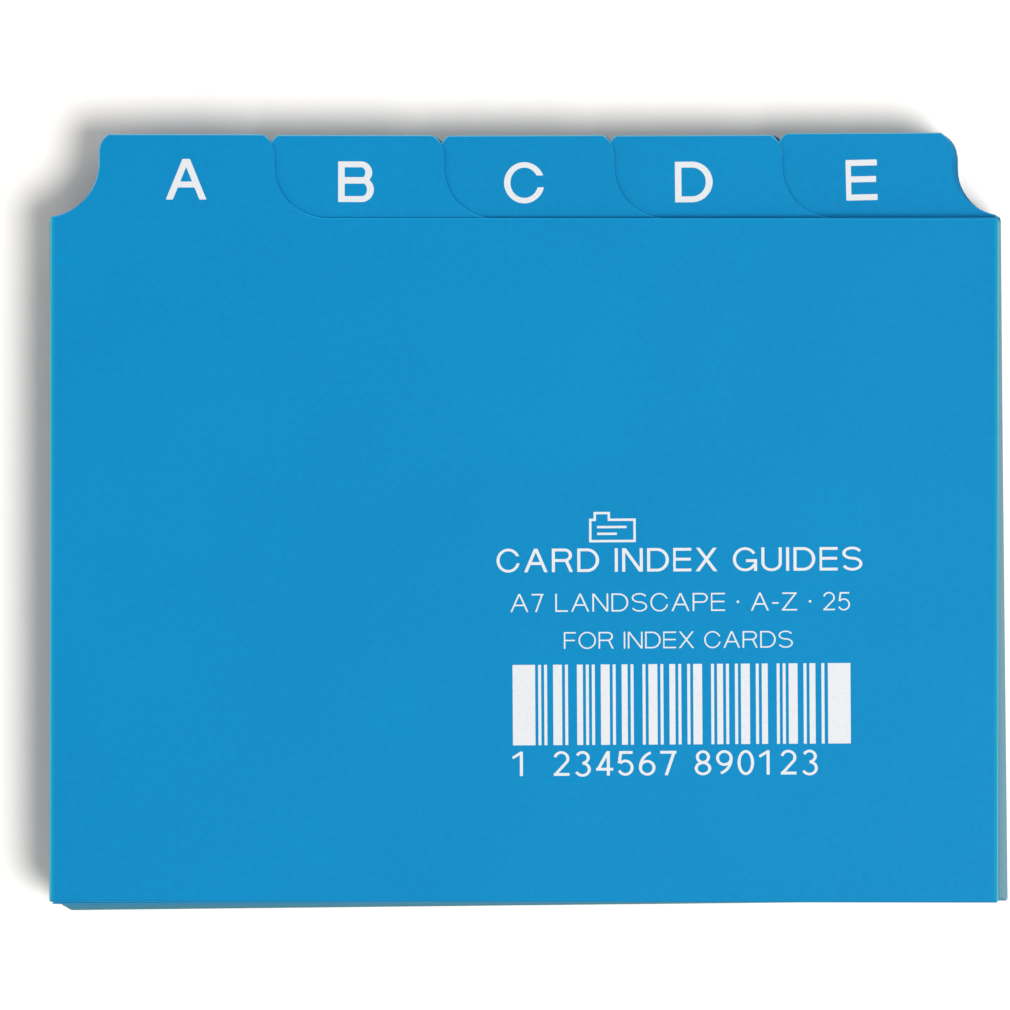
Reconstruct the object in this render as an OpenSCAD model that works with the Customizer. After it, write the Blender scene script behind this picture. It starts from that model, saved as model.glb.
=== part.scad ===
// A to Z guide set for a card index: 25 loose plastic dividers that lie on each other in a flat pack.
// The pack lies on its back on the XY plane. +Y points to the tabs and +Z out of the face of guide A.
// The origin is on the underside of the pack, below the middle of guide A's body.

/* [Guide] */
// Width of a guide's body
body_w = 105; // [100:0.5:155]
// Height of a guide's body, below its tab
body_h = 75.7; // [60:0.1:110]
// Thickness of the plastic sheet
sheet_t = 0.3; // [0.2:0.05:0.8]
// Radius of the body's free corners
corner_r = 0.2; // [0.1:0.1:2]

/* [Tab] */
// Number of tab places across a guide
tab_places = 5; // [4:1:6]
// Width of a tab between its upright edges
tab_w = 19.6; // [15:0.1:20]
// Height of a tab above the body
tab_h = 9.25; // [9:0.05:14]
// Distance from the left side of the body to the upright edge of the first tab
left_margin = 5.35; // [3:0.05:6]
// Distance from the upright edge of the last tab to the right side of the body
right_margin = 4.75; // [3:0.05:6]
// Radius of the hollow shoulder to the left of a tab
left_shoulder_r = 6.15; // [4:0.05:6.2]
// Radius of the hollow shoulder to the right of a tab
right_shoulder_r = 5.7; // [4:0.05:6.2]
// Radius of a tab's upper left corner
left_crown_r = 2.3; // [1:0.05:3]
// Radius of a tab's upper right corner
right_crown_r = 2.75; // [1:0.05:3]
// How far the straight top cut of a tab runs below the crown of its rounded corners
crown_trim = 0.35; // [0.1:0.05:0.6]

/* [Pack] */
// Air between one guide and the next
layer_gap = 0.05; // [0.02:0.01:0.2]
// How far to the right the rearmost guide has slipped
slip_x = 1.25; // [-2:0.05:2]
// How far towards the tabs the rearmost guide has slipped
slip_y = -0.9; // [-2:0.05:2]
// Turn of the rearmost guide, in degrees, positive anticlockwise
slip_turn = 0.65; // [-1.5:0.05:1.5]
// How early in the pack the slip to the right is reached: 1 spreads it evenly, and more brings it forwards
slip_haste = 2; // [1:0.1:8]
// Largest scatter in place of a single guide behind the front row
scatter = 0.02; // [0:0.01:0.4]
// Largest scatter in turn of a single guide behind the front row, in degrees
scatter_turn = 0.02; // [0:0.01:0.4]

/* [Hidden] */
$fn = 96;
LETTERS = ["a", "b", "c", "d", "e", "f", "g", "h", "i", "j", "k", "l", "m",
           "n", "o", "p", "q", "r", "s", "t", "u", "v", "w", "xy", "z"];

guide_colour = [0.10, 0.56, 0.78];
rearmost = len(LETTERS) - 1;
layer_pitch = sheet_t + layer_gap;
tab_pitch = (body_w - left_margin - right_margin - tab_w) / (tab_places - 1);
// A tab's shape reaches this far down into the body, so that the two join without a seam.
tab_root = 2;

// How the guides of the front row lie on the pack, each as [right, towards the tabs, turn in degrees].
FRONT_LAY = [[0, 0, 0], [-0.06, -0.06, 0], [0.19, -0.05, 0.25], [0.02, -0.09, 0.3], [0.05, 0.1, 0.3]];
front_last = len(FRONT_LAY) - 1;
REARMOST_LAY = [slip_x, slip_y, slip_turn];
// An angle that never brings two guides round to the same scatter.
golden_angle = 137.5;

// Shares of the whole slip that guide i has reached: 0 at the last guide of the front row, 1 at the rearmost.
// The slip to the right runs ahead of the slip towards the tabs and of the turn, which grow evenly.
function even_share(i) = (i - front_last) / (rearmost - front_last);
function slip_shares(i) = [pow(even_share(i), 1 / slip_haste), even_share(i), even_share(i)];
function part_way(from, to, shares) = [for (k = [0 : 2]) from[k] + (to[k] - from[k]) * shares[k]];
function scatter_of(i) = [scatter * sin(golden_angle * i),
                          scatter * cos(golden_angle * i),
                          scatter_turn * sin(2 * golden_angle * i)];
function rear_lay(i) = part_way(FRONT_LAY[front_last], REARMOST_LAY, slip_shares(i)) + scatter_of(i);
function lay_of(i) = i <= front_last ? FRONT_LAY[i] : rear_lay(i);

function tab_left(place) = -body_w / 2 + left_margin + place * tab_pitch;

// The waste outside a rounded corner. The square corner is at the origin, with the sheet towards +X and +Y.
// trim is how far inside the full rounding the straight edge along X is cut.
module corner_waste(r, trim = 0) {
    difference() {
        square([r, r - trim]);
        translate([r, r - trim]) circle(r);
    }
}

module body_outline() {
    difference() {
        translate([-body_w / 2, -body_h / 2]) square([body_w, body_h]);
        for (side = [0, 1], end = [0, 1])
            mirror([side, 0]) mirror([0, end])
                translate([-body_w / 2, -body_h / 2]) corner_waste(corner_r);
    }
}

// The upright part of a tab. Its left edge is on the Y axis and its foot on the X axis.
module tab_upright() {
    difference() {
        translate([0, -tab_root]) square([tab_w, tab_root + tab_h]);
        translate([0, tab_h]) mirror([0, 1]) corner_waste(left_crown_r, crown_trim);
        translate([tab_w, tab_h]) mirror([1, 0]) mirror([0, 1]) corner_waste(right_crown_r, crown_trim);
    }
}

// The hollow shoulder of radius r to the left of a tab. It is cut short where the body's side is nearer.
module shoulder(r, room) {
    run = min(r, room);
    difference() {
        translate([-run, -tab_root]) square([run, tab_root + r]);
        translate([-r, r]) circle(r);
    }
}

module tab_outline(place) {
    left_room = tab_left(place) + body_w / 2;
    right_room = body_w - left_room - tab_w;
    translate([tab_left(place), body_h / 2]) {
        tab_upright();
        shoulder(left_shoulder_r, left_room);
        translate([tab_w, 0]) mirror([1, 0]) shoulder(right_shoulder_r, right_room);
    }
}

// Guide i, counted from the front, where it lies in the pack.
module guide(i) {
    lay = lay_of(i);
    color(guide_colour)
        translate([lay[0], lay[1], (rearmost - i) * layer_pitch])
            rotate(lay[2])
                linear_extrude(height = sheet_t)
                    union() {
                        body_outline();
                        tab_outline(i % tab_places);
                    }
}

for (i = [0 : rearmost])
    guide(i);
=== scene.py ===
"""Looks of the A to Z index card guides: blue matt plastic sheets with a white screen print.

Sizes are in millimetres and angles in degrees unless a name says otherwise. The sheets are the CAD nodes.
What is made here is their materials, the print on them, and the light, floor and camera. All lettering is
generic.
"""
import math

import bpy
from mathutils import Matrix, Vector
from mathutils.geometry import delaunay_2d_cdt


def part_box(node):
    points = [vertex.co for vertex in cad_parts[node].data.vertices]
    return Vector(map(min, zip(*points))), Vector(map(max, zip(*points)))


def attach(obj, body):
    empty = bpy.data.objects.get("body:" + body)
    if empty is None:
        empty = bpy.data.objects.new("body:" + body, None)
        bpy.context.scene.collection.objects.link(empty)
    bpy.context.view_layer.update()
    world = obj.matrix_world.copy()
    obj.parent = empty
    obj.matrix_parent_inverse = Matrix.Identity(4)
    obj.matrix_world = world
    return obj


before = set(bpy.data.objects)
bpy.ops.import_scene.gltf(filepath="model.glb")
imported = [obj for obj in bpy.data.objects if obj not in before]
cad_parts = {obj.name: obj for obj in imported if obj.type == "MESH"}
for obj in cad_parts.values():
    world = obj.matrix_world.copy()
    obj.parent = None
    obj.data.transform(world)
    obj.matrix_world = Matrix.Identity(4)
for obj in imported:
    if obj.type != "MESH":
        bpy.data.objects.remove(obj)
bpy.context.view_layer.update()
MM = 0.001

# --------------------------------------------------------------------------------------------------
# Driving values
# --------------------------------------------------------------------------------------------------
# Cut edges of the sheets. FLAT_ANGLE is the most that the faces of one flat side may differ in direction.
RIM_ROUNDING = 0.12
RIM_STEPS = 2
SHARP_ANGLE = 40
WELD_GAP = 0.001
FLAT_ANGLE = 0.5

# Screen print. The shares are parts of a stroke's width.
INK_T = 0.012
INK_SINK = 0.002
ARC_STEP = 7.5
MITRE_LEAST = 0.4
UNION_GAP = 0.00001
STRAIGHT = math.radians(0.5)
CORNER_SHARE = 0.12
CORNER_REACH_MOST = 0.45
LEVEL_SHARE = 0.92
ROUND_LEVEL_SHARE = 0.84

# Tab letters: [right of the tab's middle, baseline below the tab's top, turn] as they are printed
LETTER_H = 4.5
LETTER_STROKE = 0.72
LETTER_GAP = 0.5
LETTER_PRINT = {
    "a": (-0.11, -7.25, 0.0),
    "b": (-0.08, -7.43, 0.0),
    "c": (-0.36, -7.52, 0.0),
    "d": (-0.15, -7.45, 0.3),
    "e": (-0.37, -7.49, 1.0),
}
LETTER_PRINT_BEHIND = (-0.2, -7.45, 0.0)
TAB_CROWN = 3.0

# Imprint on the front guide, from the middle of the guide's lower edge
IMPRINT_TURN = 0.4
IMPRINT_MIDDLE = (17.4, 28.6)
IMPRINT_STROKE = 0.3
# Lines of text: name, words, height, stroke, left, baseline and width
IMPRINT_LINES = [
    ("imprint_title", "CARD INDEX GUIDES", 2.6, 0.34, -3.0, 36.6, 40.5),
    ("imprint_size", "A7 LANDSCAPE . A-Z . 25", 2.0, 0.18, -1.5, 32.2, 37.6),
    ("imprint_use", "FOR INDEX CARDS", 1.85, 0.17, 4.4, 28.1, 25.35),
]

# Sign of a tabbed card. The box is left, low, width and height, and the shares are parts of that size.
CARD_MARK_BOX = (7.4, 40.0, 4.9, 3.1)
CARD_MARK_LINE = 0.3
CARD_TAB_START = 0.5
CARD_TAB_END_SHARE = 0.42
CARD_TAB_FOOT_SHARE = 0.76
# Lines of writing on the sign: height and right end, as shares
CARD_WRITING = ((0.5, 0.82), (0.26, 0.6))
CARD_WRITING_START = 0.75
CARD_WRITING_LINE = 0.26

# Bars. The box is left, right, low and high, and the modules are the widths that repeat.
BARS_BOX = (-1.3, 36.1, 17.45, 26.35)
END_BAR = 2.5
MODULE = 0.33
BAR_MODULES = (1, 1, 3, 1, 2)
GAP_MODULES = (1, 2, 1, 3, 1, 1, 2)

# Counting figures under the bars: one on its own, and then groups
FIGURES_LEFT = -1.4
FIGURES_BASE = 14.05
FIGURE_H = 2.7
FIGURE_STROKE = 0.34
FIGURE_PITCH = 2.37
FIGURE_COUNT = 13
FIGURE_GROUP = 6
FIGURE_GROUP_STARTS = (0, 4.55, 20.2)


# --------------------------------------------------------------------------------------------------
# Flat shapes: each is a list of corners, anticlockwise, and overlapping shapes print as one
# --------------------------------------------------------------------------------------------------
def box_shape(left, right, low, high):
    return [(left, low), (right, low), (right, high), (left, high)]


def post(middle, width, low=0.0, high=1.0):
    """An upright stroke."""
    return [box_shape(middle - width / 2, middle + width / 2, low, high)]


def beam(left, right, middle, width):
    """A level stroke, which is a little thinner than an upright one."""
    half = width * LEVEL_SHARE / 2
    return [box_shape(left, right, middle - half, middle + half)]


def slant(foot, head, width, low=0.0, high=1.0):
    """A slanted stroke with level ends. foot and head are the middles of its ends."""
    half = width * math.hypot(1, (head - foot) / (high - low)) / 2
    return [[(foot - half, low), (foot + half, low), (head + half, high), (head - half, high)]]


def arc(middle_x, middle_y, radius_x, radius_y, start, end):
    """Points on an ellipse from one angle to another."""
    steps = max(2, round(abs(end - start) / ARC_STEP))
    angles = [math.radians(start + (end - start) * i / steps) for i in range(steps + 1)]
    return [(middle_x + radius_x * math.cos(a), middle_y + radius_y * math.sin(a)) for a in angles]


def sides(before, here, after, width):
    """The points on the two sides of a bent stroke at one of its points, with a mitre at the bend."""
    along_in = (here - before).normalized() if before else (after - here).normalized()
    along_out = (after - here).normalized() if after else along_in
    across = Vector((-(along_in + along_out).y, (along_in + along_out).x)).normalized()
    half = width * (1 - (1 - ROUND_LEVEL_SHARE) * abs(across.y)) / 2
    reach = half / max(MITRE_LEAST, across.dot(Vector((-along_in.y, along_in.x))))
    return here + across * reach, here - across * reach


def curve(points, width, level_ends=False, closed=False):
    """A stroke along a bent line, thinner where it runs level, as one four-sided shape for each stretch."""
    line = [Vector(p) for p in points]
    last = len(line) - 1
    pairs = []
    for i, here in enumerate(line):
        before = line[i - 1] if i > 0 else (line[last - 1] if closed else None)
        after = line[i + 1] if i < last else (line[1] if closed else None)
        pairs.append(sides(before, here, after, width))
    if level_ends:
        for end, inner in ((0, 1), (last, last - 1)):
            along = line[inner] - line[end]
            pairs[end] = tuple(p + along * ((line[end].y - p.y) / along.y) for p in pairs[end])
    return [[tuple(b[0]), tuple(a[0]), tuple(a[1]), tuple(b[1])] for a, b in zip(pairs[1:], pairs)]


def placed(shapes, right=0.0, up=0.0, scale=1.0):
    return [[(x * scale + right, y * scale + up) for x, y in shape] for shape in shapes]


# --------------------------------------------------------------------------------------------------
# Plain capitals and figures. Each takes its stroke width as a share of its height, and gives (width, shapes)
# --------------------------------------------------------------------------------------------------
OVERSHOOT = 0.02
BOWL_SWELL = 1.08


def bowl(stem, straight, right, low, high, w):
    """A round stroke from a stem to the right and back, between two heights."""
    w *= BOWL_SWELL
    half = w * ROUND_LEVEL_SHARE / 2
    low, high = low + half, high - half
    turn = arc(straight, (low + high) / 2, right - w / 2 - straight, (high - low) / 2, -90, 90)
    return curve([(stem, low)] + turn + [(stem, high)], w)


def ring(width, w, low=-OVERSHOOT, high=1 + OVERSHOOT, start=0, end=360, level_ends=False):
    middle = (low + high) / 2
    points = arc(width / 2, middle, (width - w) / 2, (high - low - w) / 2, start, end)
    return curve(points, w, level_ends, closed=end - start == 360)


def letter_a(w):
    foot, head = 0.54 * w, 0.5 - 0.03 * w
    legs = slant(foot, head, w) + slant(1 - foot, 1 - head, w)
    return 1.0, legs + beam(0.22, 0.78, 0.37, w)


def letter_b(w):
    shapes = post(w / 2, w) + bowl(w / 2, 0.56, 0.84, 0.533 - w / 2, 1, w)
    return 0.88, shapes + bowl(w / 2, 0.58, 0.88, 0, 0.533 + w / 2, w)


def letter_c(w):
    return 0.99, ring(1.0, w, start=24, end=345, level_ends=True)


def letter_d(w):
    return 0.93, post(w / 2, w) + bowl(w / 2, 0.42, 0.93, 0, 1, w)


def letter_e(w):
    level = w * LEVEL_SHARE / 2
    arms = beam(w / 2, 0.77, 1 - level, w) + beam(w / 2, 0.745, 0.52, w) + beam(w / 2, 0.77, level, w)
    return 0.77, post(0.4 * w, 0.8 * w) + arms


def letter_f(w):
    level = w * LEVEL_SHARE / 2
    return 0.72, post(w / 2, w) + beam(w / 2, 0.72, 1 - level, w) + beam(w / 2, 0.66, 0.5, w)


def letter_g(w):
    level = w * LEVEL_SHARE / 2
    round_part = ring(1.04, w, start=32, end=330)
    return 1.03, round_part + beam(0.56, 1.03, 0.5 - level, w) + post(1.03 - w / 2, w, 0, 0.5)


def letter_h(w):
    return 0.88, post(w / 2, w) + post(0.88 - w / 2, w) + beam(w / 2, 0.88 - w / 2, 0.53, w)


def letter_i(w):
    return w, post(w / 2, w)


def letter_j(w):
    hook = arc(0.35, 0.3, 0.35 - w / 2, 0.3 + OVERSHOOT - w / 2, 0, -180)
    return 0.7, curve([(0.7 - w / 2, 1)] + hook + [(w / 2, 0.36)], w)


def letter_k(w):
    arm = slant(0.02, 0.9 - 0.7 * w, w, 0.24)
    leg = slant(0.92 - 0.62 * w, 0.38, w, 0, 0.6)
    return 0.92, post(w / 2, w) + clipped_left(arm, w / 2) + leg


def letter_l(w):
    return 0.7, post(w / 2, w) + beam(w / 2, 0.7, w * LEVEL_SHARE / 2, w)


def letter_m(w):
    middle = 0.525
    shapes = post(w / 2, w) + post(1.05 - w / 2, w)
    return 1.05, shapes + slant(middle - 0.02, 0.6 * w, w) + slant(middle + 0.02, 1.05 - 0.6 * w, w)


def letter_n(w):
    return 0.88, post(w / 2, w) + post(0.88 - w / 2, w) + slant(0.88 - 0.62 * w, 0.62 * w, w)


def letter_o(w):
    return 1.05, ring(1.05, w)


def letter_p(w):
    return 0.84, post(w / 2, w) + bowl(w / 2, 0.52, 0.84, 0.5 - w / 2, 1, w)


def letter_q(w):
    return 1.05, ring(1.05, w) + curve([(0.6, 0.3), (1.02, -0.04)], w)


def letter_r(w):
    leg = slant(0.9 - 0.55 * w, 0.6, w, 0, 0.52)
    return 0.9, post(w / 2, w) + bowl(w / 2, 0.54, 0.86, 0.5 - w / 2, 1, w) + leg


def letter_s(w):
    middle, waist, reach = 0.435, 0.52, OVERSHOOT - w / 2
    top = arc(middle, (1 + reach + waist) / 2, 0.42 - w / 2, (1 + reach - waist) / 2, 22, 250)
    foot = arc(middle, (waist - reach) / 2, middle - w / 2, (waist + reach) / 2, 70, -160)
    return 2 * middle, curve(top + foot, w)


def letter_t(w):
    return 0.84, beam(0, 0.84, 1 - w * LEVEL_SHARE / 2, w) + post(0.42, w)


def letter_u(w):
    turn = arc(0.435, 0.34, 0.435 - w / 2, 0.34 + OVERSHOOT - w / 2, 180, 360)
    return 0.87, curve([(w / 2, 1)] + turn + [(0.87 - w / 2, 1)], w)


def letter_v(w):
    middle = 0.465
    return 0.93, slant(middle - 0.03 * w, 0.54 * w, w) + slant(middle + 0.03 * w, 0.93 - 0.54 * w, w)


def letter_w(w):
    left, right, width = 0.36, 0.97, 1.33
    outer = slant(left, 0.54 * w, w) + slant(right, width - 0.54 * w, w)
    return width, outer + slant(left, width / 2 - 0.02, w) + slant(right, width / 2 + 0.02, w)


def letter_x(w):
    return 0.92, slant(0.6 * w, 0.9 - 0.6 * w, w) + slant(0.92 - 0.6 * w, 0.02 + 0.6 * w, w)


def letter_y(w):
    arms = slant(0.46 - 0.04 * w, 0.6 * w, w, 0.38) + slant(0.46 + 0.04 * w, 0.92 - 0.6 * w, w, 0.38)
    return 0.92, post(0.46, w, 0, 0.42) + arms


def letter_z(w):
    level = w * LEVEL_SHARE
    ends = beam(0, 0.85, level / 2, w) + beam(0.03, 0.83, 1 - level / 2, w)
    return 0.85, ends + slant(0.66 * w, 0.83 - 0.66 * w, w, level / 2, 1 - level / 2)


def figure_0(w):
    return 0.68, ring(0.68, w)


def figure_1(w):
    flag = curve([(0.02, 0.74), (0.44 - w / 2, 0.96)], w)
    return 0.44, post(0.44 - w / 2, w) + flag


def figure_2(w):
    top = arc(0.33, 0.7, 0.33 - w / 2, 0.32 - w / 2, 165, -30)
    return 0.66, curve(top + [(w * 0.7, w * LEVEL_SHARE / 2)], w) + beam(0.02, 0.66, w * LEVEL_SHARE / 2, w)


def figure_3(w):
    top = arc(0.32, 0.77 - w / 4, 0.3 - w / 2, 0.25 - w / 4, 155, -90)
    foot = arc(0.32, 0.26, 0.34 - w / 2, 0.28 - w / 2 + w / 4, 90, -155)
    return 0.66, curve(top, w) + curve(foot, w)


def figure_4(w):
    return 0.7, post(0.5, w) + beam(0, 0.7, 0.26, w) + slant(0.5 * w, 0.5, w, 0.22, 1)


def figure_5(w):
    level = w * LEVEL_SHARE / 2
    foot = arc(0.32, 0.32, 0.34 - w / 2, 0.34 - w / 2, 140, -155)
    return 0.66, curve(foot, w) + slant(0.07, 0.14, w, 0.5, 1) + beam(0.1, 0.62, 1 - level, w)


def figure_6(w):
    stem = arc(0.68, 0.34, 0.68 - w / 2, 0.68 - w / 2, 180, 108)
    return 0.68, ring(0.68, w, high=0.64) + curve(stem, w)


def figure_7(w):
    return 0.66, beam(0, 0.66, 1 - w * LEVEL_SHARE / 2, w) + slant(0.24, 0.66 - 0.6 * w, w)


def figure_8(w):
    head = placed(ring(0.58, w, low=0.5 - w / 3, high=1 + OVERSHOOT), right=0.05)
    return 0.68, ring(0.68, w, high=0.5 + w / 2) + head


def figure_9(w):
    width, shapes = figure_6(w)
    return width, [[(width - x, 1 - y) for x, y in shape] for shape in shapes]


def hyphen(w):
    return 0.36, beam(0, 0.36, 0.42, w)


def middle_dot(w):
    return 1.4 * w, post(0.7 * w, 1.4 * w, 0.5 - 0.7 * w, 0.5 + 0.7 * w)


def space(w):
    return 0.3, []


def clipped_left(shapes, left):
    """Shapes with nothing further left than a given line."""
    return [[(max(left, x), y) for x, y in shape] for shape in shapes]


GLYPHS = {
    "A": letter_a, "B": letter_b, "C": letter_c, "D": letter_d, "E": letter_e, "F": letter_f, "G": letter_g,
    "H": letter_h, "I": letter_i, "J": letter_j, "K": letter_k, "L": letter_l, "M": letter_m, "N": letter_n,
    "O": letter_o, "P": letter_p, "Q": letter_q, "R": letter_r, "S": letter_s, "T": letter_t, "U": letter_u,
    "V": letter_v, "W": letter_w, "X": letter_x, "Y": letter_y, "Z": letter_z, "-": hyphen, ".": middle_dot,
    "0": figure_0, "1": figure_1, "2": figure_2, "3": figure_3, "4": figure_4, "5": figure_5, "6": figure_6,
    "7": figure_7, "8": figure_8, "9": figure_9, " ": space,
}


def text_line(words, height, stroke, left, base, width=None, gap=None):
    """A line of capitals and figures, spread over a width or set with a gap, and its width."""
    glyphs = [GLYPHS[character](stroke / height) for character in words]
    taken = sum(glyph_width for glyph_width, _ in glyphs) * height
    if gap is None:
        gap = (width - taken) / (len(words) - 1)
    shapes, at = [], left
    for glyph_width, glyph in glyphs:
        shapes += placed(glyph, at, base, height)
        at += glyph_width * height + gap
    return shapes, at - gap - left


# --------------------------------------------------------------------------------------------------
# Pieces of print
# --------------------------------------------------------------------------------------------------
def anticlockwise(shape):
    area = sum(a[0] * b[1] - b[0] * a[1] for a, b in zip(shape, shape[1:] + shape[:1]))
    return shape if area > 0 else shape[::-1]


def outlines(points, triangles):
    """The closed outlines round a patch of triangles, with straight stretches as single steps."""
    steps = {(t[i - 1], t[i]) for t in triangles for i in range(3)}
    following = {}
    for start, end in sorted(steps):
        if (end, start) not in steps:
            following.setdefault(start, []).append(end)
    loops = []
    while following:
        at = first = min(following)
        loop = []
        while not loop or at != first:
            loop.append(points[at])
            ends = following[at]
            reached = ends.pop()
            if not ends:
                del following[at]
            at = reached
        loops.append([here for before, here, after in neighbours(loop)
                      if bend(before, here, after) > STRAIGHT])
    return loops


def neighbours(loop):
    """Each point of a closed outline with the one before it and the one after it."""
    return zip(loop[-1:] + loop[:-1], loop, loop[1:] + loop[:1])


def bend(before, here, after):
    return (here - before).angle(after - here, 0)


def rounded(loop, radius):
    """An outline with its sharp corners rounded, as ink does, but never past the middle of a side."""
    result = []
    for before, here, after in neighbours(loop):
        if bend(before, here, after) < math.radians(SHARP_ANGLE):
            result.append(here)
            continue
        start = here.lerp(before, min(CORNER_REACH_MOST, radius / (before - here).length))
        end = here.lerp(after, min(CORNER_REACH_MOST, radius / (after - here).length))
        result += [start.lerp(here, t).lerp(here.lerp(end, t), t) for t in (0, 1 / 3, 2 / 3, 1)]
    return result


def filled(loops):
    """Points, and the triangles that fill closed shapes. With each triangle go the shapes that hold it."""
    corners = [Vector(corner) for loop in loops for corner in loop]
    faces, first = [], 0
    for loop in loops:
        faces.append(list(range(first, first + len(loop))))
        first += len(loop)
    points, _, triangles, _, _, holders = delaunay_2d_cdt(corners, [], faces, 1, UNION_GAP)
    return points, list(zip(triangles, holders))


def print_piece(name, shapes, node, place, stroke, material):
    """A thin closed layer of ink on a guide. place takes the shapes' millimetres to the guide's face."""
    points, triangles = filled([anticlockwise(shape) for shape in shapes])
    loops = outlines(points, [triangle for triangle, holders in triangles if holders])
    points, triangles = filled([anticlockwise(rounded(loop, stroke * CORNER_SHARE)) for loop in loops])
    # What two outlines hold is a hole.
    kept = [triangle for triangle, holders in triangles if len(holders) % 2]
    used = sorted({corner for triangle in kept for corner in triangle})
    number = {corner: i for i, corner in enumerate(used)}
    verts = [(points[i].x * MM, points[i].y * MM, -INK_SINK * MM) for i in used]
    data = bpy.data.meshes.new(name)
    data.from_pydata(verts, [], [[number[corner] for corner in triangle] for triangle in kept])
    data.materials.append(material)
    piece = bpy.data.objects.new(name, data)
    bpy.context.scene.collection.objects.link(piece)
    layer = piece.modifiers.new("ink layer", "SOLIDIFY")
    layer.thickness = (INK_T + INK_SINK) * MM
    layer.offset = 1
    piece.matrix_world = place
    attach(piece, node.name)
    return piece


def guide_place(node):
    """A guide's frame, read off its mesh: the middle of its face's lower edge, turned as the guide is."""
    mesh = node.data
    edge = max((p for p in mesh.polygons if p.normal.y < -0.99), key=lambda p: p.area)
    corners = sorted((mesh.vertices[i].co for i in edge.vertices), key=lambda corner: corner.x)
    middle = (corners[0] + corners[-1]) / 2
    turn = math.atan2(edge.normal.x, -edge.normal.y)
    face_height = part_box(node.name)[1].z
    return Matrix.Translation((middle.x, middle.y, face_height)) @ Matrix.Rotation(turn, 4, "Z")


def tab_place(node, place):
    """The middle and the top of a guide's tab, in the guide's own frame."""
    to_guide = place.inverted()
    points = [to_guide @ vert.co / MM for vert in node.data.vertices]
    top = max(p.y for p in points)
    across = [p.x for p in points if p.y > top - TAB_CROWN]
    return (min(across) + max(across)) / 2, top


def print_tab_letters(letters, node, material):
    place = guide_place(node)
    middle, top = tab_place(node, place)
    right, down, turn = LETTER_PRINT.get(letters, LETTER_PRINT_BEHIND)
    shapes, width = text_line(letters.upper(), LETTER_H, LETTER_STROKE, 0, 0, gap=LETTER_GAP)
    shapes = placed(shapes, right=-width / 2)
    at = Matrix.Translation(((middle + right) * MM, (top + down) * MM, 0))
    turned = Matrix.Rotation(math.radians(turn), 4, "Z")
    print_piece("letter_" + letters, shapes, node, place @ at @ turned, LETTER_STROKE, material)


def card_mark():
    """A small sign of a tabbed card with two lines of writing."""
    left, low, width, height = CARD_MARK_BOX
    right, high = left + width, low + height
    tab_left, tab_right = left + CARD_TAB_START, left + CARD_TAB_END_SHARE * width
    tab_low = low + CARD_TAB_FOOT_SHARE * height
    outline = [(left, low), (right, low), (right, tab_low), (tab_right, tab_low), (tab_right, high)]
    outline += [(tab_left, high), (tab_left, tab_low), (left, tab_low), (left, low)]
    shapes = curve(outline, CARD_MARK_LINE, closed=True)
    half = CARD_WRITING_LINE / 2
    for up_share, end_share in CARD_WRITING:
        middle = low + up_share * height
        start, end = left + CARD_WRITING_START, left + end_share * width
        shapes.append(box_shape(start, end, middle - half, middle + half))
    return shapes


def bar_block():
    """Bars by a plain repeating rule between two wide bars. They encode nothing."""
    left, right, low, high = BARS_BOX
    shapes = [box_shape(left, left + END_BAR, low, high), box_shape(right - END_BAR, right, low, high)]
    at = left + END_BAR + MODULE
    last = right - END_BAR - MODULE
    count = 0
    while at < last:
        width = BAR_MODULES[count % len(BAR_MODULES)] * MODULE
        shapes.append(box_shape(at, min(at + width, last), low, high))
        at += width + GAP_MODULES[count % len(GAP_MODULES)] * MODULE
        count += 1
    return shapes


def counting_figures():
    """Figures that only count, from 1 up."""
    shapes = []
    for count in range(FIGURE_COUNT):
        group = 0 if count == 0 else 1 + (count - 1) // FIGURE_GROUP
        in_group = 0 if count == 0 else (count - 1) % FIGURE_GROUP
        at = FIGURES_LEFT + FIGURE_GROUP_STARTS[group] + in_group * FIGURE_PITCH
        shapes += text_line(str((count + 1) % 10), FIGURE_H, FIGURE_STROKE, at, FIGURES_BASE, gap=0)[0]
    return shapes


def print_imprint(node, material):
    """Prints the imprint on the front guide, turned a little about its own middle."""
    middle = Vector((*IMPRINT_MIDDLE, 0)) * MM
    turn = Matrix.Rotation(math.radians(IMPRINT_TURN), 4, "Z")
    place = guide_place(node) @ Matrix.Translation(middle) @ turn @ Matrix.Translation(-middle)
    pieces = [(name, text_line(words, height, stroke, left, base, width=width)[0])
              for name, words, height, stroke, left, base, width in IMPRINT_LINES]
    pieces += [("imprint_bars", bar_block()), ("imprint_figures", counting_figures())]
    pieces.append(("imprint_mark", card_mark()))
    for name, shapes in pieces:
        print_piece(name, shapes, node, place, IMPRINT_STROKE, material)


# --------------------------------------------------------------------------------------------------
# Materials
# --------------------------------------------------------------------------------------------------
def set_range(node, from_low, from_high, to_low, to_high):
    """Sets both ranges of a Map Range node."""
    node.inputs["From Min"].default_value = from_low
    node.inputs["From Max"].default_value = from_high
    node.inputs["To Min"].default_value = to_low
    node.inputs["To Max"].default_value = to_high


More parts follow.
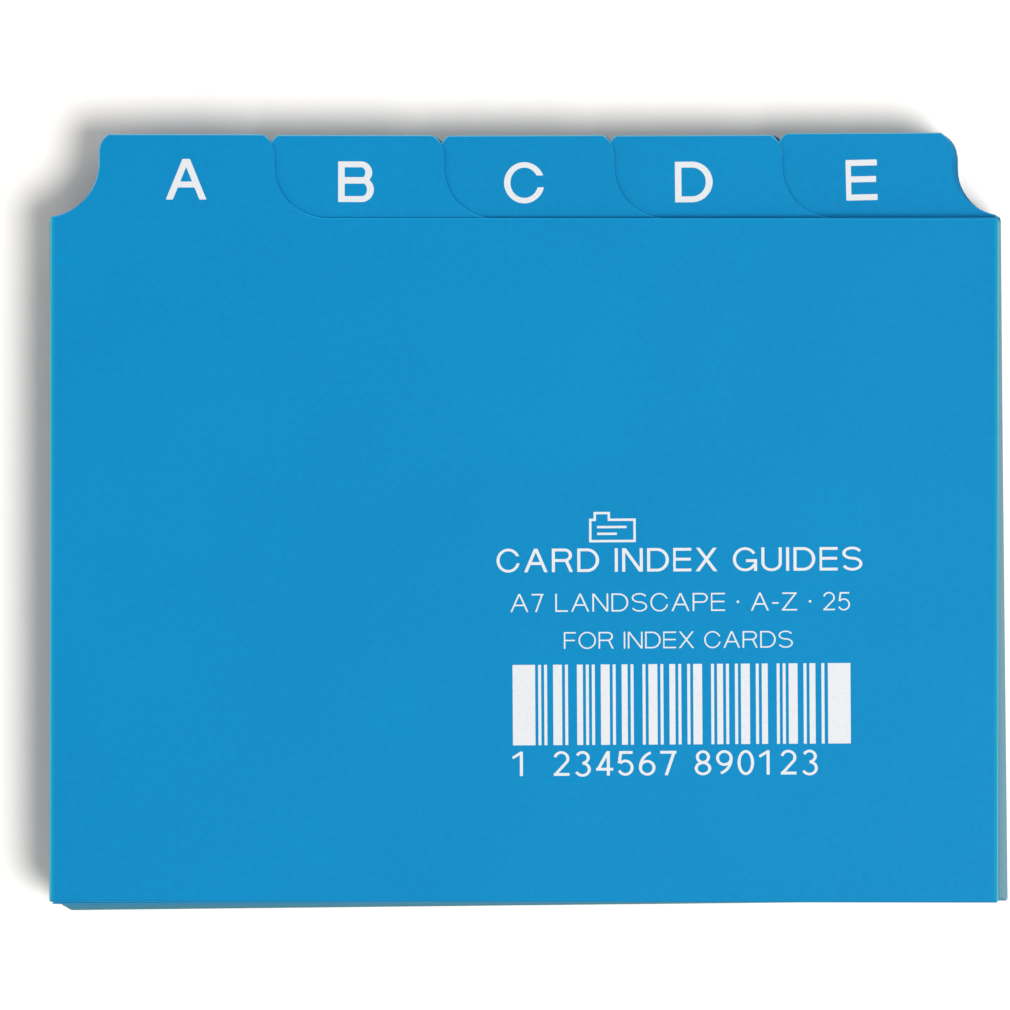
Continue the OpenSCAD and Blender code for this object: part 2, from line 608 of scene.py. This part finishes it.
class Nodes:
    """A material's nodes and links, with short calls for the kinds used here."""

    def __init__(self, name):
        self.material = bpy.data.materials.new(name)
        self.material.use_nodes = True
        self.tree = self.material.node_tree
        self.shader = self.tree.nodes["Principled BSDF"]
        self.place = self.add("ShaderNodeTexCoord").outputs["Object"]

    def add(self, kind, **values):
        node = self.tree.nodes.new(kind)
        for name, value in values.items():
            setattr(node, name, value)
        return node

    def join(self, output, target):
        self.tree.links.new(output, target)

    def parts(self, vector):
        """The X, Y and Z of a vector."""
        node = self.add("ShaderNodeSeparateXYZ")
        self.join(vector, node.inputs[0])
        return node.outputs

    def scaled(self, per_mm):
        """Object coordinates with so many units a millimetre along each axis."""
        node = self.add("ShaderNodeMapping")
        self.join(self.place, node.inputs["Vector"])
        node.inputs["Scale"].default_value = [value / MM for value in per_mm]
        return node.outputs["Vector"]

    def noise(self, per_mm, detail=2.0, roughness=0.5):
        node = self.add("ShaderNodeTexNoise")
        self.join(self.scaled(per_mm), node.inputs["Vector"])
        node.inputs["Scale"].default_value = 1
        node.inputs["Detail"].default_value = detail
        node.inputs["Roughness"].default_value = roughness
        return node.outputs["Fac"]

    def ranged(self, value, from_low, from_high, to_low, to_high):
        """A value carried over from one range to another, and held within it."""
        node = self.add("ShaderNodeMapRange", clamp=True)
        self.join(value, node.inputs["Value"])
        set_range(node, from_low, from_high, to_low, to_high)
        return node.outputs["Result"]

    def maths(self, operation, first, second):
        node = self.add("ShaderNodeMath", operation=operation)
        for socket, value in zip(node.inputs, (first, second)):
            if isinstance(value, (int, float)):
                socket.default_value = value
            else:
                self.join(value, socket)
        return node.outputs["Value"]

    def mixed(self, share, first, second):
        """A colour between two, each a colour or another node's output."""
        node = self.add("ShaderNodeMix", data_type="RGBA")
        self.join(share, node.inputs["Factor"])
        for socket, value in zip(("A", "B"), (first, second)):
            target = [s for s in node.inputs if s.name == socket and s.type == "RGBA"][0]
            if isinstance(value, tuple):
                target.default_value = (*value, 1)
            else:
                self.join(value, target)
        return [s for s in node.outputs if s.type == "RGBA"][0]

    def bump(self, height, depth_mm, strength=1.0):
        node = self.add("ShaderNodeBump")
        self.join(height, node.inputs["Height"])
        node.inputs["Distance"].default_value = depth_mm * MM
        node.inputs["Strength"].default_value = strength
        self.join(node.outputs["Normal"], self.shader.inputs["Normal"])


# The sheet's own blue, between these two
SHEET_DARK = (0.0, 0.198, 0.430)
SHEET_LIGHT = (0.0, 0.224, 0.476)
# Cut edges, each as (at the front of the pack, further back). These colours are painted light and shade: each
# rim is painted lighter or darker by the way it faces, and the colours further back are painted shade, greyer
# and darker.
# Rims on the lower edge: painted shade, darker than the face
LOWER_EDGE_SHADE = (0.0, 0.165, 0.33), (0.05, 0.165, 0.18)
# Rims facing up towards the tabs: painted light on the front guide, against the shadow at its top edge, and
# painted shade behind it
BODY_TOP_EDGE_LIGHT_SHADE = (0.01, 0.34, 0.68), (0.0, 0.17, 0.33)
# Right-facing rims of the tabs: painted shade, drawn as dark lines where the tabs overlap
TAB_RIGHT_EDGE_SHADE = (0.0, 0.14, 0.31), (0.01, 0.11, 0.20)
# Right-facing rims of the body: partly the whitening of the cut and partly a painted highlight on the front
# guide, and painted shade on the guides behind it
SIDE_EDGE_HIGHLIGHT_SHADE = (0.105, 0.38, 0.48), (0.13, 0.25, 0.285)
# Left-facing rims and the tabs' crowns: partly the whitening of the cut and partly a painted highlight,
# greyer further back as painted shade
WHITENED_AND_HIGHLIGHT_EDGE = (0.17, 0.47, 0.60), (0.16, 0.30, 0.35)
# Heights in the pack between which one colour gives way to the other, the front colour to the painted shade
# further back
FRONT_GUIDE_LOW = 8.4
FRONT_ROW_LOW = 8.0
FRONT_ROW_BACK = 7.0
ROW_CHANGE = 0.03
REAR_HIGH = 6.0
REARMOST_HIGH = 0.5
# Where the tabs and their crowns begin, and how wide the change of colour is there
TAB_FOOT_Y = 37.5
CROWN_Y = 44.6
CHANGE_WIDTH = 0.3
RIGHT_CROWN_SHARE = 0.35
STREAK_SHARE = 0.25
# How much of a surface's direction must point some way for it to face there: to start with, and in full
FACING = 0.25, 0.35
FACING_STRAIGHT = 0.95, 0.985
# Bands on the face next to the short sides: a painted glow of light on the front guide, and painted shade on
# the guides behind it
SIDE_PAINTED_GLOW = (0.01, 0.39, 0.42)
SIDE_PAINTED_SHADE = (0.12, 0.24, 0.31)
SIDE_BAND_REACH = 0.6
GLOW_SHARE = 0.6
SIDE_SHADE_SHARE = 0.9
# Surface of the sheet. A cut edge is a little glossier than the face.
CLOUD_SHARE = 0.45
FACE_ROUGHNESS = 0.46, 0.53
EDGE_GLOSS = 0.12
SHEET_SPECULAR = 0.09
GRAIN_DEPTH = 0.004


def edge_colour_with_painted_light(m, place, normal):
    """Colour of the cut edges, with light and shade painted in by the way each rim faces and how deep it lies
    in the pack. The tabs' crowns and what faces left the most are painted lightest, partly as the whitening
    of the cut and partly as a painted highlight.
    """
    start, end = FACING
    rear = m.ranged(place["Z"], REAR_HIGH * MM, FRONT_ROW_LOW * MM, 1, 0)
    behind = m.ranged(place["Z"], FRONT_ROW_LOW * MM, FRONT_GUIDE_LOW * MM, 1, 0)
    depth = m.ranged(place["Z"], REARMOST_HIGH * MM, FRONT_ROW_LOW * MM, 1, 0)
    on_body = m.ranged(place["Y"], TAB_FOOT_Y * MM, (TAB_FOOT_Y + CHANGE_WIDTH) * MM, 1, 0)
    on_crown = m.ranged(place["Y"], CROWN_Y * MM, (CROWN_Y + CHANGE_WIDTH) * MM, 0, 1)
    faces_up = m.ranged(normal["Y"], start, end, 0, 1)
    faces_right = m.ranged(normal["X"], start, end, 0, 1)
    faces_left = m.ranged(normal["X"], -end, -start, 1, 0)
    right_edge = m.mixed(on_body, m.mixed(rear, *TAB_RIGHT_EDGE_SHADE), m.mixed(behind, *SIDE_EDGE_HIGHLIGHT_SHADE))
    colour = m.mixed(faces_up, m.mixed(depth, *LOWER_EDGE_SHADE), m.mixed(rear, *BODY_TOP_EDGE_LIGHT_SHADE))
    colour = m.mixed(faces_right, colour, right_edge)
    kept_blue = m.maths("MULTIPLY", faces_right, m.ranged(rear, 0, 1, 1, 1 - RIGHT_CROWN_SHARE))
    crown = m.maths("MULTIPLY", on_crown, m.maths("SUBTRACT", 1, kept_blue))
    return m.mixed(m.maths("MAXIMUM", faces_left, crown), colour, m.mixed(rear, *WHITENED_AND_HIGHLIGHT_EDGE))


def side_bands_light_and_shade(m, place, face, half_width):
    """The face with bands beside the short sides: a paler painted glow on the front guide, and greyer painted
    shade on the guides behind it.
    """
    aside = m.maths("ABSOLUTE", place["X"], 0)
    behind = m.ranged(place["Z"], FRONT_ROW_LOW * MM, FRONT_GUIDE_LOW * MM, 1, 0)
    reached = m.ranged(aside, (half_width - SIDE_BAND_REACH) * MM, half_width * MM, 0, 1)
    # The guides further back lie too far aslant for a band that is parallel to the front guide's sides.
    in_front_row = m.ranged(place["Z"], (FRONT_ROW_BACK - ROW_CHANGE) * MM, FRONT_ROW_BACK * MM, 0, 1)
    most = m.maths("MULTIPLY", in_front_row, m.ranged(behind, 0, 1, GLOW_SHARE, SIDE_SHADE_SHARE))
    return m.mixed(m.maths("MULTIPLY", reached, most), face, m.mixed(behind, SIDE_PAINTED_GLOW, SIDE_PAINTED_SHADE))


def blue_sheet(half_width):
    """Blue plastic with a fine matt grain. Its cut edges are streaked in the direction of the cut."""
    m = Nodes("blue sheet, matt")
    grain = m.noise((7, 7, 7), detail=3)
    cloud = m.noise((0.05, 0.05, 0.05), detail=2)
    fleck = m.noise((1.6, 1.6, 1.6), detail=2)
    clouds = m.maths("MULTIPLY", cloud, CLOUD_SHARE)
    tone = m.maths("ADD", clouds, m.maths("MULTIPLY", fleck, 1 - CLOUD_SHARE))
    face = m.mixed(m.ranged(tone, 0.3, 0.7, 0, 1), SHEET_DARK, SHEET_LIGHT)
    drag = m.noise((9, 9, 0.8), detail=2)

    # The face is where the true surface looks straight up or down. All else is the cut edge.
    place = m.parts(m.place)
    normal = m.parts(m.add("ShaderNodeNewGeometry").outputs["True Normal"])
    edge = m.ranged(m.maths("ABSOLUTE", normal["Z"], 0), *FACING_STRAIGHT, 1, 0)
    # The cut edges get painted light and shade, and the face gets painted bands of light and shade beside the
    # short sides.
    streaked = m.mixed(m.ranged(drag, 0.35, 0.65, 0, STREAK_SHARE), edge_colour_with_painted_light(m, place, normal), face)
    m.join(m.mixed(edge, side_bands_light_and_shade(m, place, face, half_width), streaked), m.shader.inputs["Base Color"])

    scuff = m.noise((0.35, 0.06, 0.2), detail=4, roughness=0.65)
    face_roughness = m.ranged(scuff, 0.35, 0.7, *FACE_ROUGHNESS)
    roughness = m.maths("SUBTRACT", face_roughness, m.maths("MULTIPLY", edge, EDGE_GLOSS))
    m.join(roughness, m.shader.inputs["Roughness"])
    m.shader.inputs["Specular IOR Level"].default_value = SHEET_SPECULAR
    m.bump(m.maths("ADD", grain, m.maths("MULTIPLY", drag, edge)), GRAIN_DEPTH)
    return m.material


INK_FULL = (0.655, 0.67, 0.685)
INK_THIN = (0.30, 0.47, 0.60)
INK_ROUGHNESS = 0.42, 0.55
INK_SPECULAR = 0.35
PINHOLE_DEPTH = 0.002


def white_print():
    """Thin white ink, a little uneven, so that the blue comes through in places."""
    m = Nodes("white screen print")
    cover = m.noise((2.2, 2.2, 2.2), detail=3, roughness=0.6)
    pinholes = m.noise((9, 9, 9), detail=1)
    thin = m.maths("MULTIPLY", m.ranged(cover, 0.5, 0.78, 0, 0.5), m.ranged(pinholes, 0.4, 0.7, 0.2, 1))
    m.join(m.mixed(thin, INK_FULL, INK_THIN), m.shader.inputs["Base Color"])
    m.join(m.ranged(cover, 0.3, 0.7, *INK_ROUGHNESS), m.shader.inputs["Roughness"])
    m.shader.inputs["Specular IOR Level"].default_value = INK_SPECULAR
    m.bump(pinholes, PINHOLE_DEPTH)
    return m.material


TABLE_DARK = (0.96, 0.93, 0.89)
TABLE_LIGHT = (0.98, 0.95, 0.91)
TABLE_ROUGHNESS = 0.9
TABLE_SPECULAR = 0.1


def table_top():
    m = Nodes("white table")
    tooth = m.noise((0.4, 0.4, 0.4), detail=3)
    m.join(m.mixed(tooth, TABLE_DARK, TABLE_LIGHT), m.shader.inputs["Base Color"])
    m.shader.inputs["Roughness"].default_value = TABLE_ROUGHNESS
    m.shader.inputs["Specular IOR Level"].default_value = TABLE_SPECULAR
    return m.material


# --------------------------------------------------------------------------------------------------
# Sheets, stage, light and camera
# --------------------------------------------------------------------------------------------------
def finish_sheet(node, material):
    """Gives a CAD sheet its material and rounds the rim that the punch leaves."""
    for slot in node.material_slots:
        slot.material = material
    weld = node.modifiers.new("weld", "WELD")
    weld.merge_threshold = WELD_GAP * MM
    join = node.modifiers.new("whole faces", "DECIMATE")
    join.decimate_type = "DISSOLVE"
    join.angle_limit = math.radians(FLAT_ANGLE)
    rim = node.modifiers.new("punched rim", "BEVEL")
    rim.width = RIM_ROUNDING * MM
    rim.segments = RIM_STEPS
    rim.limit_method = "ANGLE"
    rim.angle_limit = math.radians(SHARP_ANGLE)
    rim.use_clamp_overlap = False
    shading = node.modifiers.new("flat faces", "WEIGHTED_NORMAL")
    shading.weight = 100


TABLE_HALF_M = 3.0


def add_floor(material):
    corners = [(x * TABLE_HALF_M, y * TABLE_HALF_M, 0) for x, y in ((-1, -1), (1, -1), (1, 1), (-1, 1))]
    data = bpy.data.meshes.new("table")
    data.from_pydata(corners, [], [(0, 1, 2, 3)])
    data.materials.append(material)
    table = bpy.data.objects.new("table", data)
    bpy.context.scene.collection.objects.link(table)


# Light on a level surface, as shares of the light that makes white paper white
KEY_SHARE = 0.78
SKY_SHARE = 0.64
# Brightness of the sky near the horizon and overhead, and how much more of it comes from the right
SKY_LOW = 1.35
SKY_OVERHEAD = 0.55
HORIZON = 0.1
SKY_LEAN = 0.15
KEY_TILT = 30
KEY_BEARING = -35
KEY_DISTANCE_M = 3.0
KEY_RADIUS_M = 0.76


def direction(bearing, tilt):
    """A unit vector: bearing is anticlockwise from +X, and tilt is off the vertical."""
    b, t = math.radians(bearing), math.radians(tilt)
    return Vector((math.cos(b) * math.sin(t), math.sin(b) * math.sin(t), math.cos(t)))


def add_key_light(target):
    """A soft disc of light from the lower right, so that shadows fall to the left and towards the tabs."""
    lamp = bpy.data.lights.new("key", "AREA")
    lamp.shape = "DISK"
    lamp.size = 2 * KEY_RADIUS_M
    # A disc of this power, that far away and that far aslant, gives a level surface the key's share of light.
    lamp.energy = KEY_SHARE * math.pi * math.pi * KEY_DISTANCE_M ** 2 / math.cos(math.radians(KEY_TILT))
    key = bpy.data.objects.new("key", lamp)
    away = direction(KEY_BEARING, KEY_TILT)
    key.location = target + away * KEY_DISTANCE_M
    key.rotation_mode = "QUATERNION"
    key.rotation_quaternion = away.to_track_quat("Z", "Y")
    key.visible_camera = False
    bpy.context.scene.collection.objects.link(key)


def add_sky():
    """White light from all round, dimmer overhead and on the left, where the key light's shadow falls."""
    world = bpy.data.worlds.new("studio")
    world.use_nodes = True
    tree = world.node_tree
    background = tree.nodes["Background"]
    place = tree.nodes.new("ShaderNodeTexCoord")
    parts = tree.nodes.new("ShaderNodeSeparateXYZ")
    height = tree.nodes.new("ShaderNodeMapRange")
    lean = tree.nodes.new("ShaderNodeMapRange")
    set_range(height, HORIZON, 1, SKY_LOW, SKY_OVERHEAD)
    set_range(lean, -1, 1, SKY_SHARE * (1 - SKY_LEAN), SKY_SHARE * (1 + SKY_LEAN))
    tree.links.new(place.outputs["Generated"], parts.inputs[0])
    tree.links.new(parts.outputs["Z"], height.inputs["Value"])
    tree.links.new(parts.outputs["X"], lean.inputs["Value"])
    tree.links.new(height.outputs["Result"], background.inputs["Color"])
    tree.links.new(lean.outputs["Result"], background.inputs["Strength"])
    bpy.context.scene.world = world


CAMERA_ABOVE_M = 0.72
VIEW_WIDTH = 111.79
VIEW_SHIFT = (-2.13, 1.45)
SENSOR_WIDTH = 36
CAMERA_ROLL = 0.06


def add_camera(front_guide):
    """Straight above the front guide. The view's width is what is seen at the height of that guide's face."""
    low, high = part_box(front_guide)
    middle = (low + high) / 2
    data = bpy.data.cameras.new("camera")
    data.sensor_width = SENSOR_WIDTH
    data.lens = SENSOR_WIDTH * CAMERA_ABOVE_M / (VIEW_WIDTH * MM)
    data.clip_start = 0.01
    data.clip_end = 100
    camera = bpy.data.objects.new("camera", data)
    camera.location = Vector((middle.x, middle.y, high.z + CAMERA_ABOVE_M)) + Vector((*VIEW_SHIFT, 0)) * MM
    camera.rotation_euler = (0, 0, math.radians(CAMERA_ROLL))
    bpy.context.scene.collection.objects.link(camera)
    bpy.context.scene.camera = camera


def main():
    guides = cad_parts
    low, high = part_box("guide_a")
    sheet_material = blue_sheet(half_width=(high.x - low.x) / 2 / MM)
    print_material = white_print()
    for name, node in guides.items():
        finish_sheet(node, sheet_material)
        print_tab_letters(name.removeprefix("guide_"), node, print_material)
    print_imprint(guides["guide_a"], print_material)

    add_floor(table_top())
    add_key_light((low + high) / 2)
    add_sky()
    add_camera("guide_a")
    bpy.context.scene.view_settings.view_transform = "Standard"


main()
